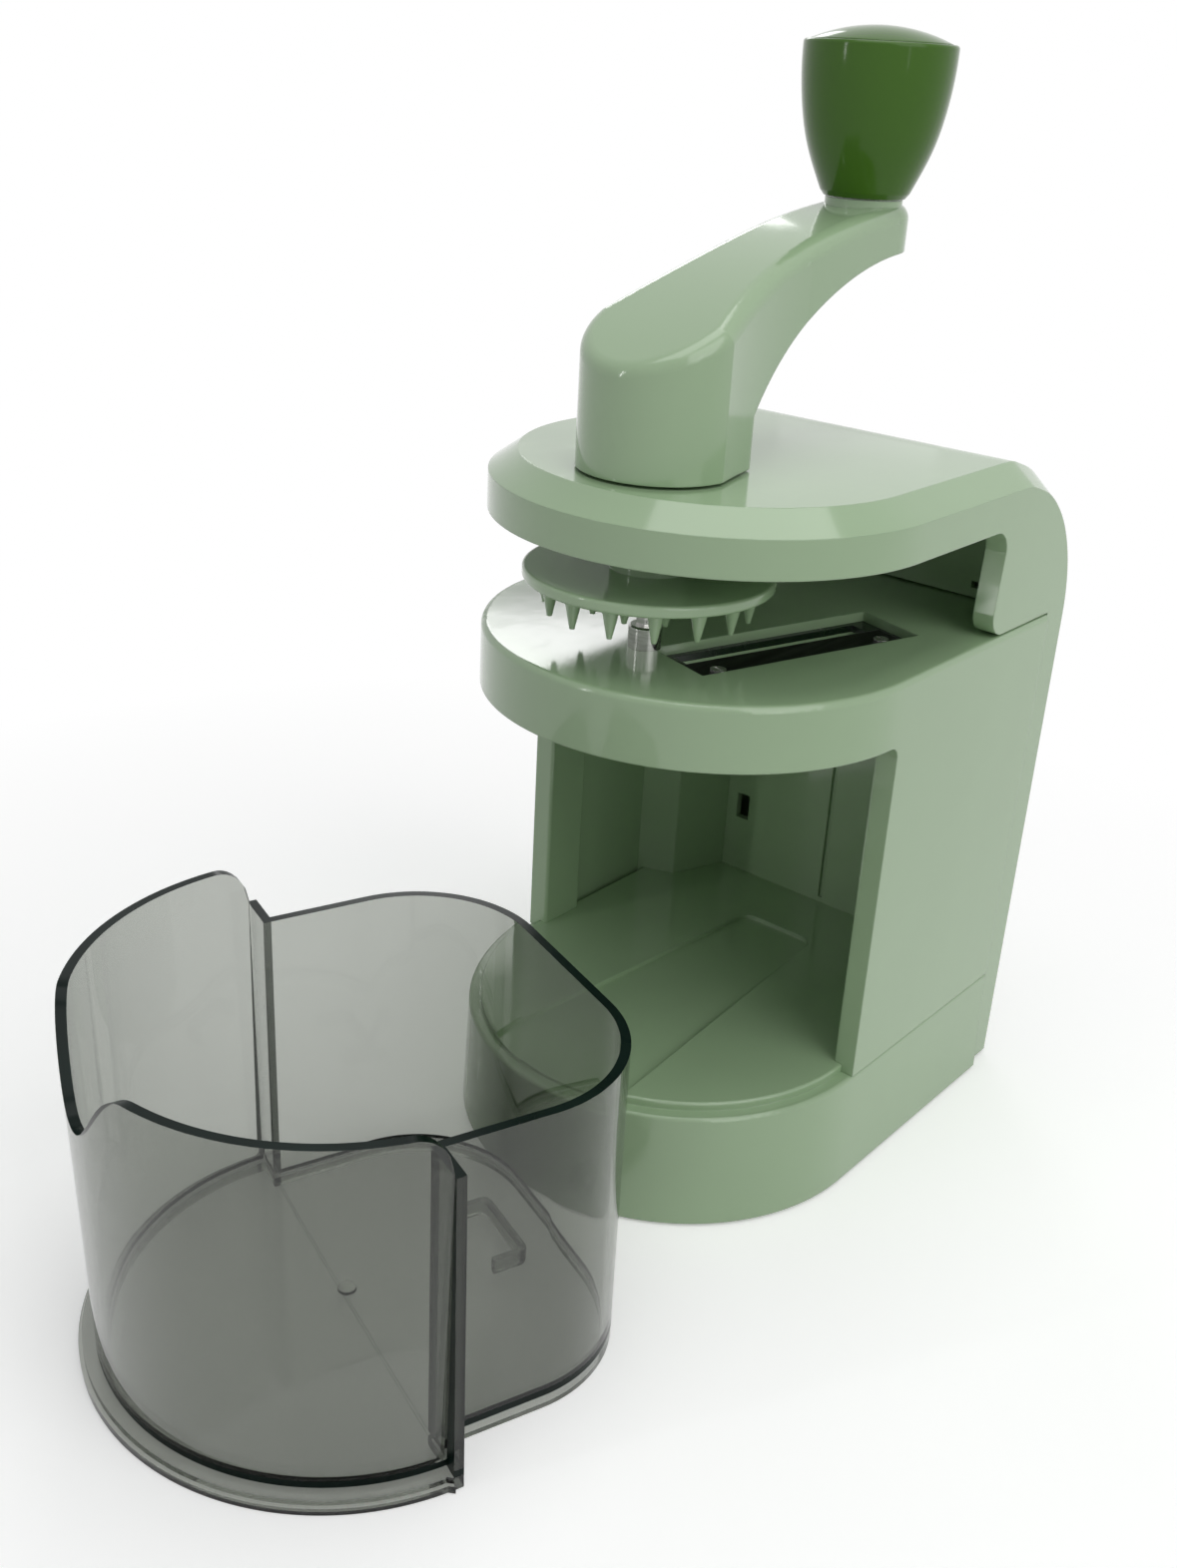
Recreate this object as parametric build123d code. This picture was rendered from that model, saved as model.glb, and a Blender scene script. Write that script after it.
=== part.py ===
from build123d import *
from math import cos, radians, sin
import os

os.makedirs("parts", exist_ok=True)

# Hand-cranked vertical spiral slicer with its smoke-grey catch container.
# Millimetres, +Z up, table top at z = 0, front of the machine towards -Y.
# Drawn about the centre of the half-round front, on the table. The files are
# moved at the end so that their origin is the middle of the group's footprint.

# ---- middle of the footprint of machine and container together ----
MIDDLE_X, MIDDLE_Y = -2.85, -51.8

# ---- driving dimensions: machine body ----
BODY_HALF = 65.0        # half width, also the radius of the half-round front
BODY_REAR = 86.0        # back face of the body, where the sliding column starts
WALL = 3.0              # general moulding thickness
BASE_LIFT = 0.8         # the base moulding clears the table, it stands on pads
BASE_H = 37.0           # top of the base's outer wall
BASE_FLARE = 1.3        # how far the base widens at the table
FLOOR_STEP = 2.5        # the bay floor stands this much above the base's outer wall
LEDGE_W = 4.0           # width of the ledge around the bay floor
RECESS_DEPTH = 1.5      # tapered channel in the bay floor
RECESS_REAR_HALF = 13.7
RECESS_FRONT_HALF = 24.5
RECESS_REAR_Y = 58.0
BAY_H = 107.3           # from the base top to the underside of the deck skirt
DECK_SKIRT = 18.5       # height of the deck's skirt
DECK_T = 4.0
SIDE_WALL = 2.5
JAMB_Y = 2.0            # front face of the two door jambs
JAMB_W = 7.0
JAMB_DEPTH = 17.0
PANEL_T = 2.7           # back panel of the bay
FIT = 0.3               # clearance between pieces that move past each other
SHAFT_FIT = 0.05        # radial clearance of a running fit

# ---- driving dimensions: sliding arm and its column ----
ARM_GAP = 32.6          # deck top to arm underside when the arm is down
ARM_INSET = 0.9         # the arm is this much narrower than the body, each side
ARM_SIDE_H = 8.3        # vertical side of the arm below its chamfer
ARM_CHAMFER_H = 8.0
ARM_CHAMFER_IN = 5.8
ARM_TOP_T = 3.5
CHEEK_T = 6.5           # thickness of the arm's and column's side walls
COL_DEPTH = 17.2        # column depth behind the body
ROOF_Y = 56.5           # where the flat arm top starts to curve down to the back
BEND_H = 51.5           # height of that bend
CHEEK_Y = 51.0          # front edge of the column's two cheeks above the deck
CHEEK_R = 7.0           # rounding at both ends of the cheek's front edge
LIFT = 92.0             # travel of the arm

# ---- driving dimensions: crank, knob, shaft and pressing disc ----
AXIS_Y = -29.1          # the crank turns about a vertical line at (0, AXIS_Y)
CRANK_R = 88.2          # crank axis to knob axis
HUB_R = 21.5
HUB_GAP = 0.8           # dark gap under the crank's hub
NECK_HALF = 14.1        # half width of the crank where it leaves the hub
TIP_R = 13.2            # rounded end of the crank
CRANK_RISE = 65.2       # arm top to the crank's flat pad under the knob
CRANK_ROUND = 4.5       # rounding all along the crank's upper edge
HUB_TAIL = 0.6          # the hub's flat back lies this far behind its circle
HUB_CORNER = 6.5        # rounding of the hub's two rear corners
HUB_BACK = 0.296        # share of that rise where the underside leaves the hub
SHAFT_R = 5.0
DISC_R = 34.4
DISC_T = 3.3
DISC_DROP = 13.3        # arm underside to disc underside
SPIKE_L = 8.6
SPIKE_FOOT_R = 2.5
SPIKE_TIP_R = 0.7
OUTER_SPIKES = 15
OUTER_RING_R = 28.0
INNER_SPIKES = 10
INNER_RING_R = 17.5
SPIKE_TURN = 18.3       # degrees, where the first spike of each ring stands
KNOB_H = 40.0
KNOB_TOP_R = 21.3
KNOB_FOOT_R = 11.6
KNOB_DOME = 4.2
KNOB_PIN_R = 3.0

# ---- driving dimensions: blade and coring pin in the deck ----
SLOT_L = 77.0
SLOT_W = 23.4
SLOT_X, SLOT_Y = 25.0, 4.6
SLOT_TURN = -16.9       # degrees about +Z, from pointing straight back
BLADE_T = 0.8
PIN_R = 2.9
PIN_STANDS = 15.0       # pin tip above the deck
COLLAR_R = 4.7
COLLAR_H = 6.5
SEAT_DROP = 2.0         # how far the blade's top lies below the deck

# ---- driving dimensions: container ----
TUB_R = 67.5            # outer radius of the front wall at its rim
TUB_DRAFT = 2.5         # the front wall is this much smaller at the foot
TUB_H = 102.0           # front rim
TUB_REAR_H = 90.0       # rear rim
TUB_REAR_HALF = 56.5
TUB_REAR_L = 64.5       # from the flanges to the back
TUB_REAR_R = 35.0       # rounding of the two rear corners
TUB_T = 2.6
TUB_FLOOR_Z = 6.0
TUB_LIP_H = 4.5
TUB_LIP_OUT = 2.0
RIM_BEND = 9.5          # rounding where the front rim drops to the rear rim
NOTCH_LOW = 79.5        # thumb notch in the front rim
NOTCH_HALF = 20.0
TUB_GAP = 6.8           # room in front of the base for its turned rear corners
TUB_X = -2.5            # how far its middle stands to the side of the machine's
TUB_TURN = -19.6        # degrees about +Z

# ---- derived heights and places ----
TUB_AT = (TUB_X, -(BODY_HALF + BASE_FLARE + TUB_REAR_L + TUB_GAP))
FLOOR_Z = BASE_H + FLOOR_STEP
SKIRT_Z = BASE_H + BAY_H
DECK_Z = SKIRT_Z + DECK_SKIRT
DECK_UNDER = DECK_Z - DECK_T
ARM_Z0 = DECK_Z + ARM_GAP
ARM_Z1 = ARM_Z0 + ARM_SIDE_H
ARM_TOP = ARM_Z1 + ARM_CHAMFER_H
ARM_HALF = BODY_HALF - ARM_INSET
COL_FRONT = BODY_REAR + FIT
COL_REAR = COL_FRONT + COL_DEPTH
CAVITY_HALF = ARM_HALF - CHEEK_T
DISC_Z = ARM_Z0 - DISC_DROP
HUB_Z = ARM_TOP + HUB_GAP
KNOB_Y = AXIS_Y + CRANK_R
PAD_Z = ARM_TOP + CRANK_RISE
KNOB_Z = PAD_Z + FIT
PLATEAU_HALF = BODY_HALF - LEDGE_W


def block(x0, x1, y0, y1, z0, z1):
    """Box between two corners."""
    return Pos((x0 + x1) / 2, (y0 + y1) / 2, (z0 + z1) / 2) * Box(x1 - x0, y1 - y0, z1 - z0)


def rod(x, y, r, z0, z1):
    """Upright cylinder."""
    return Pos(x, y, (z0 + z1) / 2) * Cylinder(r, z1 - z0)


def both_sides(solid):
    """The solid and its mirror image across the machine's middle plane."""
    return solid + mirror(solid, Plane.YZ)


def d_face(half, rear, z):
    """Flat D: half-round front of radius `half`, straight sides back to y = rear."""
    edges = [ThreePointArc((half, 0, z), (0, -half, z), (-half, 0, z)),
             Line((-half, 0, z), (-half, rear, z)),
             Line((-half, rear, z), (half, rear, z)),
             Line((half, rear, z), (half, 0, z))]
    return Face(Wire(edges))


def d_block(half, rear, z0, z1):
    return extrude(d_face(half, rear, z0), amount=z1 - z0, dir=(0, 0, 1))


def d_taper(half0, half1, rear, z0, z1):
    return loft([d_face(half0, rear, z0), d_face(half1, rear, z1)], ruled=True)


def side_prism(edges, x0, x1):
    """Extrude a closed outline given in the (y, z) plane along X."""
    return extrude(Face(Wire(edges)), amount=x1 - x0, dir=(1, 0, 0))


def side_path(points, x):
    """Straight lines through (y, z) points at a given x."""
    pts = [(x, y, z) for y, z in points]
    return [Line(a, b) for a, b in zip(pts, pts[1:])]


def cross_screw(x, y, z_head, r_head, r_shank, length):
    """Cross-head screw driven upwards; its head's outer face is at z_head."""
    head = rod(x, y, r_head, z_head, z_head + HEAD_H)
    shank = rod(x, y, r_shank, z_head, z_head + length)
    slot = Pos(x, y, z_head + 0.25) * Box(r_head * 1.4, 0.8, 0.5)
    slot += Pos(x, y, z_head + 0.25) * Box(0.8, r_head * 1.4, 0.5)
    return head + shank - slot


# ---------------------------------------------------------------- base
HEAD_H = 1.4            # height of a sunk screw head
HEAD_IN = 0.2           # how far it lies below the surface
BOSSES = [(s * BODY_HALF * 0.66, y) for s in (-1, 1) for y in (BODY_REAR * -0.35, BODY_REAR * 0.8)]
PLATE_Z = 2.2
PLATE_T = 2.4
PAD_R = 7.5
BASE_SCREW_L = 20.0


def plateau():
    """The raised bay floor inside the ledge."""
    return d_block(PLATEAU_HALF, BODY_REAR, BASE_H, FLOOR_Z)


def base_shell():
    outer = d_taper(BODY_HALF + BASE_FLARE, BODY_HALF, BODY_REAR, BASE_LIFT, BASE_H)
    front_edges = outer.edges().filter_by_position(Axis.Z, BASE_H - 0.01, BASE_H + 0.01)
    front_edges = front_edges.filter_by(GeomType.CIRCLE)
    outer = fillet(front_edges, 1.2)
    shell = outer + fillet_top(plateau(), FLOOR_Z, 0.8)
    shell -= d_block(BODY_HALF - WALL, BODY_REAR - WALL, 0, BASE_H - WALL)
    rise = FLOOR_Z - RECESS_DEPTH
    front_y = -BODY_HALF
    channel = Polyline((-RECESS_REAR_HALF, RECESS_REAR_Y, rise), (RECESS_REAR_HALF, RECESS_REAR_Y, rise),
                       (RECESS_FRONT_HALF, front_y, rise), (-RECESS_FRONT_HALF, front_y, rise), close=True)
    cut = extrude(Face(Wire(channel.edges())), amount=RECESS_DEPTH + 1, dir=(0, 0, 1))
    rear_corners = cut.edges().filter_by(Axis.Z).sort_by(Axis.Y)[-2:]
    shell -= fillet(rear_corners, 5.0)
    for x, y in BOSSES:
        shell += rod(x, y, 5.0, PLATE_Z + PLATE_T, BASE_H - WALL + 0.5)
        shell -= rod(x, y, 1.6, PLATE_Z, BASE_H - WALL - 8)
    return shell


def fillet_top(solid, z, r):
    """Round the front half of the top rim of a D block."""
    rim = solid.edges().filter_by_position(Axis.Z, z - 0.01, z + 0.01)
    return fillet(rim.filter_by(GeomType.CIRCLE), r)


def bottom_plate():
    plate = d_block(BODY_HALF - WALL - 0.2, BODY_REAR - WALL - 0.2, PLATE_Z, PLATE_Z + PLATE_T)
    for x, y in BOSSES:
        plate -= rod(x, y, 3.4, PLATE_Z - 1, PLATE_Z + HEAD_IN + HEAD_H)
        plate -= rod(x, y, 1.9, PLATE_Z - 1, PLATE_Z + PLATE_T + 1)
    return plate


def foot_pads():
    pads = [(s * BODY_HALF * 0.62, y) for s in (-1, 1) for y in (-BODY_HALF * 0.24, BODY_REAR * 0.62)]
    return [rod(x, y, PAD_R, 0, PLATE_Z) for x, y in pads]


def base_screws():
    return [cross_screw(x, y, PLATE_Z + HEAD_IN, 3.0, 1.6, BASE_SCREW_L) for x, y in BOSSES]


# ---------------------------------------------------------------- body
def slot_place(u, v, z):
    """A point or piece in the blade slot's own axes: v along the slot, u across it."""
    return Pos(SLOT_X, SLOT_Y, 0) * Rot(0, 0, SLOT_TURN) * Pos(u, v, z)


def post_face(z):
    """Corner post of the bay on the +X side, seen from above."""
    inner = BODY_HALF - SIDE_WALL
    pts = [(inner + 1, BODY_REAR * 0.67), (inner, BODY_REAR * 0.67), (BODY_HALF * 0.77, BODY_REAR * 0.73),
           (BODY_HALF * 0.66, BODY_REAR - PANEL_T), (BODY_HALF * 0.66, BODY_REAR), (inner + 1, BODY_REAR)]
    wire = Polyline(*[(x, y, z) for x, y in pts], close=True)
    return Face(Wire(wire.edges()))


def bay_cut():
    """Front opening below the skirt, with its small rounding at the top of the jambs."""
    low, r, x = BASE_H - 5, 4.0, -BODY_HALF * 1.5
    arc = ThreePointArc((x, JAMB_Y, SKIRT_Z - r), (x, JAMB_Y - r * (1 - cos(radians(45))),
                        SKIRT_Z - r * (1 - sin(radians(45)))), (x, JAMB_Y - r, SKIRT_Z))
    far = -BODY_HALF * 1.4
    edges = side_path([(JAMB_Y - r, SKIRT_Z), (far, SKIRT_Z), (far, low), (JAMB_Y, low),
                       (JAMB_Y, SKIRT_Z - r)], x) + [arc]
    return side_prism(edges, x, -x)


def body_shell():
    shell = d_block(BODY_HALF, BODY_REAR, BASE_H, DECK_Z)
    rim = shell.edges().filter_by_position(Axis.Z, DECK_Z - 0.01, DECK_Z + 0.01)
    straight = rim.filter_by(Axis.Y)
    shell = fillet(rim.filter_by(GeomType.CIRCLE) + straight, 1.8)
    inner = BODY_HALF - SIDE_WALL
    cavity = d_block(BODY_HALF - WALL, JAMB_Y, SKIRT_Z - 1, DECK_UNDER)
    cavity += block(-inner, inner, 0, BODY_REAR + 1, BASE_H - 1, DECK_UNDER)
    shell -= cavity + bay_cut()
    jamb = block(BODY_HALF - JAMB_W, BODY_HALF - 1, JAMB_Y, JAMB_Y + JAMB_DEPTH, BASE_H, DECK_UNDER + 0.5)
    jamb = fillet(jamb.edges().filter_by(Axis.Z).sort_by(Axis.X)[:2], 1.0)
    post = extrude(post_face(BASE_H), amount=DECK_UNDER + 0.5 - BASE_H, dir=(0, 0, 1))
    shell += both_sides(jamb) + both_sides(post)
    shell -= plateau()
    opening = slot_place(0, 0, DECK_Z) * Box(SLOT_W, SLOT_L, DECK_T * 3)
    shell -= opening
    low = SEAT_Z - SEAT_T
    ledge = slot_place(0, 0, (low + DECK_UNDER + 1) / 2) * Box(SLOT_W + 5, SLOT_L + 5, DECK_UNDER + 1 - low)
    ledge -= slot_place(0, 0, SEAT_Z + 5) * Box(SLOT_W, SLOT_L, 10)
    ledge -= slot_place(0, 0, SEAT_Z) * Box(SLOT_W - 3, SLOT_L - 3, 20)
    shell += ledge
    boss = rod(0, AXIS_Y, PIN_R + 4, DECK_UNDER - 6, DECK_UNDER + 0.5)
    boss -= slot_place(0, 0, DECK_Z) * Box(SLOT_W + 5, SLOT_L + 5, DECK_T * 8)
    shell += boss
    shell -= rod(0, AXIS_Y, PIN_R * 0.8, DECK_UNDER - 20, DECK_Z + 1)
    return shell


def back_panel():
    half = BODY_HALF * 0.66
    panel = block(-half, half, BODY_REAR - PANEL_T, BODY_REAR, FLOOR_Z, DECK_UNDER)
    front = BODY_REAR - PANEL_T
    panel -= block(-0.8, 0.8, front - 1, front + 1, FLOOR_Z + 2, DECK_UNDER - 2)
    for s in (-1, 1):
        x = s * half * 0.84
        panel -= block(x - 2.6, x + 2.6, BODY_REAR - 10, BODY_REAR + 10, FLOOR_Z + 20.5, FLOOR_Z + 30)
    return panel


# ---------------------------------------------------------------- rails of the sliding column
RAIL_X = 28.0
RAIL_WEB = 5.0
RAIL_FLANGE = 11.0
RAIL_FLANGE_T = 3.0
RAIL_NECK = 4.0
STOP_H = 6.0            # stop at the rail's top that the shoe meets at the end of its travel
STOP_HALF = 8.5
STOP_REACH = 8.0
RAIL_BOLT_R = 1.5
RAIL_BOLT_L = 8.0
RAIL_BORE_L = 20.0
RAIL_TOP = DECK_UNDER - 1.0
SHOE_Z0 = 10.0
SHOE_H = RAIL_TOP - STOP_H - LIFT - 1.0 - SHOE_Z0


def t_section(x, extra, y0, z0, z1):
    """Tee of a rail; `extra` widens it into the slot of its shoe."""
    neck_end = BODY_REAR + RAIL_NECK
    tee = block(x - RAIL_WEB / 2 - extra, x + RAIL_WEB / 2 + extra, y0, neck_end + 0.5, z0, z1)
    tee += block(x - RAIL_FLANGE / 2 - extra, x + RAIL_FLANGE / 2 + extra,
                 neck_end - extra, neck_end + RAIL_FLANGE_T + extra, z0, z1)
    return tee


def slide_rails():
    rails = []
    for x in (-RAIL_X, RAIL_X):
        rail = t_section(x, 0, BODY_REAR, SHOE_Z0 - 4, RAIL_TOP)
        rail += block(x - STOP_HALF, x + STOP_HALF, BODY_REAR, BODY_REAR + STOP_REACH,
                      RAIL_TOP - STOP_H, RAIL_TOP)
        for z in (BASE_H * 0.6, SKIRT_Z):
            rail -= Pos(x, BODY_REAR + RAIL_BOLT_L / 2, z) * Rot(90, 0, 0) * Cylinder(RAIL_BOLT_R, RAIL_BORE_L)
        rails.append(rail)
    return rails


def rail_screws():
    out = []
    for x in (-RAIL_X, RAIL_X):
        for z in (BASE_H * 0.6, SKIRT_Z):
            head = Pos(x, BODY_REAR + RAIL_BOLT_L - 0.4, z) * Rot(90, 0, 0) * Cylinder(2.4, 1.2)
            shank = Pos(x, BODY_REAR + RAIL_BOLT_L / 2, z) * Rot(90, 0, 0) * Cylinder(RAIL_BOLT_R, RAIL_BOLT_L)
            out.append(head + shank)
    return out


def slide_shoes():
    shoes = []
    for x in (-RAIL_X, RAIL_X):
        shoe = block(x - 9, x + 9, BODY_REAR + 0.6, COL_REAR - WALL, SHOE_Z0, SHOE_Z0 + SHOE_H)
        slot = t_section(x, FIT, BODY_REAR - 2, SHOE_Z0 - 5, SHOE_Z0 + SHOE_H + 5)
        slot += block(x - 2.8, x + 2.8, BODY_REAR + 6, BODY_REAR + 9, SHOE_Z0 - 5, SHOE_Z0 + SHOE_H + 5)
        shoes.append(shoe - slot)
    return shoes


# ---------------------------------------------------------------- sliding arm and column
def roof_curve(rear, top, drop, x):
    """Quarter ellipse from the column's back up to the flat arm top."""
    a, b = rear - ROOF_Y, drop
    z0 = top - drop
    pts = [(x, rear, z0)]
    for k in range(1, 8):
        t = radians(90 * k / 8)
        pts.append((x, ROOF_Y + a * cos(t), z0 + b * sin(t)))
    pts.append((x, ROOF_Y, top))
    return Spline(*pts, tangents=[(0, 0, 1), (0, -1, 0)])


def arm_profile(x):
    """Outline of the whole sliding moulding, seen from the side."""
    c = cos(radians(45))
    r, nose = CHEEK_R, DECK_Z + 0.5
    far = -BODY_HALF * 1.3
    yb, yt = CHEEK_Y - 1.5, CHEEK_Y
    inner = ThreePointArc((x, yt - r, ARM_Z0), (x, yt - r + r * c, ARM_Z0 - r + r * c), (x, yt, ARM_Z0 - r))
    tip = ThreePointArc((x, yb, nose + r), (x, yb + r - r * c, nose + r - r * c), (x, yb + r, nose))
    lines = side_path([(far, ARM_TOP), (far, ARM_Z0), (yt - r, ARM_Z0)], x)
    lines += [inner, Line((x, yt, ARM_Z0 - r), (x, yb, nose + r)), tip]
    lines += side_path([(yb + r, nose), (COL_FRONT, nose), (COL_FRONT, 1.0), (COL_REAR, 1.0),
                        (COL_REAR, ARM_TOP - BEND_H)], x)
    lines += [roof_curve(COL_REAR, ARM_TOP, BEND_H, x), Line((x, ROOF_Y, ARM_TOP), (x, far, ARM_TOP))]
    return lines


def arm_cavity():
    x = -CAVITY_HALF
    top = ARM_TOP - ARM_TOP_T
    rear = COL_REAR - WALL
    far = -BODY_HALF * 1.3
    low = -5
    bend = BEND_H - ARM_TOP_T
    lines = side_path([(far, top), (far, low), (rear, low), (rear, top - bend)], x)
    lines += [roof_curve(rear, top, bend, x), Line((x, ROOF_Y, top), (x, far, top))]
    return side_prism(lines, x, -x) & d_block(CAVITY_HALF, COL_REAR + 10, low - 1, ARM_TOP)


def arm_shell():
    outer = side_prism(arm_profile(-ARM_HALF), -ARM_HALF, ARM_HALF)
    outer = outer & d_block(ARM_HALF, COL_REAR + 10, -5, ARM_TOP + 5)
    rim = [e for e in outer.edges() if is_top_rim(e)]
    outer = chamfer(rim, ARM_CHAMFER_H, ARM_CHAMFER_IN)
    shell = outer - arm_cavity()
    boss = rod(0, AXIS_Y, SHAFT_R + 9, ARM_Z0 + WALL, ARM_TOP - ARM_TOP_T + 0.5)
    shell += boss
    shell -= rod(0, AXIS_Y, SHAFT_R + 3, ARM_Z0 - 1, ARM_TOP + 1)
    for x, y in UNDER_BOSSES:
        shell += rod(x, y, 4.0, ARM_Z0 + WALL, ARM_TOP - ARM_TOP_T + 0.5)
        shell -= rod(x, y, 1.3, ARM_Z0, ARM_TOP - ARM_TOP_T - 1)
    return shell


def is_top_rim(edge):
    """Edges between the arm's top and its sides, all the way down the back."""
    c = edge.center()
    box = edge.bounding_box()
    on_side = abs(abs(c.X) - ARM_HALF) < 0.01 and box.max.X - box.min.X < 0.01
    at_top = abs(box.min.Z - ARM_TOP) < 0.01 and abs(box.max.Z - ARM_TOP) < 0.01
    bend = on_side and box.max.Z > ARM_TOP - 1 and box.min.Z < ARM_TOP - 5 and box.max.Y > ROOF_Y + 5
    front = at_top and c.Y < 0 and edge.geom_type == GeomType.CIRCLE
    return front or (at_top and on_side) or bend


FRONT_PLATE_Y = COL_FRONT - 3.6     # front face of the column's upright plate
UNDER_SCREW_L = 9.0
UNDER_BOSSES = [(s * CAVITY_HALF * 0.75, y) for s in (-1, 1) for y in (-10.0, CHEEK_Y + 12)]


def arm_underplate():
    plate = d_block(CAVITY_HALF - 0.1, FRONT_PLATE_Y, ARM_Z0, ARM_Z0 + WALL)
    plate -= rod(0, AXIS_Y, SHAFT_R + 3, ARM_Z0 - 1, ARM_Z0 + WALL + 1)
    for x, y in UNDER_BOSSES:
        plate -= rod(x, y, 2.8, ARM_Z0 - 1, ARM_Z0 + HEAD_IN + HEAD_H)
        plate -= rod(x, y, 1.5, ARM_Z0 - 1, ARM_Z0 + WALL + 1)
    return plate


def underplate_screws():
    return [cross_screw(x, y, ARM_Z0 + HEAD_IN, 2.4, 1.3, UNDER_SCREW_L) for x, y in UNDER_BOSSES]


def column_front_plate():
    """Upright plate that closes the column above the deck, with its shelf and slot."""
    y0, y1 = FRONT_PLATE_Y - 0.4, FRONT_PLATE_Y + PANEL_T - 0.4
    half = CAVITY_HALF - 0.1
    low = DECK_Z + 0.5
    plate = block(-half, half, y0, y1, low, ARM_Z0)
    plate += block(-half, half, y0 - 4, y0 + 0.5, ARM_Z0 - 12, ARM_Z0 - 9.5)
    for s in (-1, 1):
        plate -= block(s * half * 0.78 - 5, s * half * 0.78 + 5, y0 - 5, y1 + 5, low + 3, low + 5)
    return plate


def shaft_bush(z0, z1, flange_z0, flange_z1):
    bush = rod(0, AXIS_Y, SHAFT_R + 3, z0, z1) + rod(0, AXIS_Y, SHAFT_R + 7, flange_z0, flange_z1)
    return bush - rod(0, AXIS_Y, SHAFT_R + SHAFT_FIT, z0 - 5, z1 + 5)


def upper_bush():
    return shaft_bush(ARM_Z1, ARM_TOP, ARM_TOP, ARM_TOP + HUB_GAP - FIT)


def lower_bush():
    return shaft_bush(ARM_Z0, ARM_Z0 + WALL, ARM_Z0 - 1.5, ARM_Z0)


# ---------------------------------------------------------------- crank
def crank_plan(z):
    """Hub, tapering neck and rounded end, seen from above."""
    y_neck = AXIS_Y + CRANK_R * 0.49
    k = (HUB_R + NECK_HALF) / 2 - 1.0
    side = []
    for s in (1, -1):
        blend = ThreePointArc((s * HUB_R, AXIS_Y, z), (s * k, AXIS_Y + CRANK_R * 0.22, z),
                              (s * NECK_HALF, y_neck, z))
        side.append([blend, Line((s * NECK_HALF, y_neck, z), (s * TIP_R, KNOB_Y, z))])
    front = ThreePointArc((-HUB_R, AXIS_Y, z), (0, AXIS_Y - HUB_R, z), (HUB_R, AXIS_Y, z))
    tip = ThreePointArc((TIP_R, KNOB_Y, z), (0, KNOB_Y + TIP_R, z), (-TIP_R, KNOB_Y, z))
    return Face(Wire([front] + side[0] + [tip] + side[1]))


def crank_side(x):
    """The crank's curved top and underside, seen from the side."""
    y0, y1 = AXIS_Y - HUB_R * 1.3, KNOB_Y + TIP_R * 1.3
    rise = CRANK_RISE
    top = ThreePointArc((x, y0, ARM_TOP + rise * 0.388),
                        (x, AXIS_Y + CRANK_R * 0.33, ARM_TOP + rise * 0.7945),
                        (x, y1, ARM_TOP + rise * 0.9985))
    back = AXIS_Y + HUB_R + HUB_TAIL
    z_back = ARM_TOP + rise * HUB_BACK
    under = ThreePointArc((x, back, z_back), (x, AXIS_Y + CRANK_R * 0.557, ARM_TOP + rise * 0.603),
                          (x, y1, ARM_TOP + rise * 0.79))
    lines = [top, Line((x, y1, ARM_TOP + rise * 0.9985), (x, y1, ARM_TOP + rise * 0.79)), under]
    lines += side_path([(back, z_back), (back, HUB_Z), (y0, HUB_Z), (y0, ARM_TOP + rise * 0.388)], x)
    return lines


def crank_arm():
    plan = extrude(crank_plan(HUB_Z - 5), amount=CRANK_RISE * 2, dir=(0, 0, 1))
    wide = HUB_R * 1.2
    arm = plan & side_prism(crank_side(-wide), -wide, wide)
    back = AXIS_Y + HUB_R + HUB_TAIL
    corners = [e for e in arm.edges().filter_by(Axis.Z) if abs(e.center().Y - back) < 0.5]
    arm = fillet(corners, HUB_CORNER)
    top = max((f for f in arm.faces() if f.normal_at(f.center()).Z > 0.6), key=lambda f: f.area)
    arm = fillet(top.edges(), CRANK_ROUND)
    pad = rod(0, KNOB_Y, KNOB_FOOT_R - 0.6, PAD_Z - 6, PAD_Z)
    arm += pad
    arm -= rod(0, AXIS_Y, SHAFT_R, HUB_Z - 1, HUB_Z + 26)
    arm -= rod(0, KNOB_Y, KNOB_PIN_R, PAD_Z - 12, PAD_Z + 1)
    return arm


def drive_shaft():
    shaft = rod(0, AXIS_Y, SHAFT_R, DISC_Z + 2.5, HUB_Z + 26)
    return shaft - rod(0, AXIS_Y, 2.0, DISC_Z, DISC_Z + 14)


def press_disc():
    disc = rod(0, AXIS_Y, DISC_R, DISC_Z, DISC_Z + DISC_T)
    disc = fillet(disc.edges().filter_by(GeomType.CIRCLE), 0.9)
    disc += rod(0, AXIS_Y, SHAFT_R + 6, DISC_Z + DISC_T - 0.5, ARM_Z0 - 1.5 - FIT)
    disc -= rod(0, AXIS_Y, SHAFT_R, DISC_Z + 2.5, ARM_Z0)
    disc -= rod(0, AXIS_Y, 6.0, DISC_Z - 1, DISC_Z + 2.5)
    return disc


def disc_spikes():
    """Two rings of blunt spikes that stand on the disc's underside and grip the food."""
    spikes = []
    rings = ((OUTER_SPIKES, OUTER_RING_R, SPIKE_L), (INNER_SPIKES, INNER_RING_R, SPIKE_L * 0.88))
    for count, ring, length in rings:
        for k in range(count):
            a = radians(360 * k / count + SPIKE_TURN)
            place = Pos(ring * sin(a), AXIS_Y - ring * cos(a), DISC_Z - length / 2)
            spikes.append(place * Cone(SPIKE_TIP_R, SPIKE_FOOT_R, length))
    return spikes


def disc_screw():
    head = rod(0, AXIS_Y, 4.6, DISC_Z + 0.2, DISC_Z + 2.5)
    head -= rod(0, AXIS_Y, 2.2, DISC_Z, DISC_Z + 1.2)
    return head + rod(0, AXIS_Y, 2.0, DISC_Z + 2.0, DISC_Z + 13)


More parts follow.
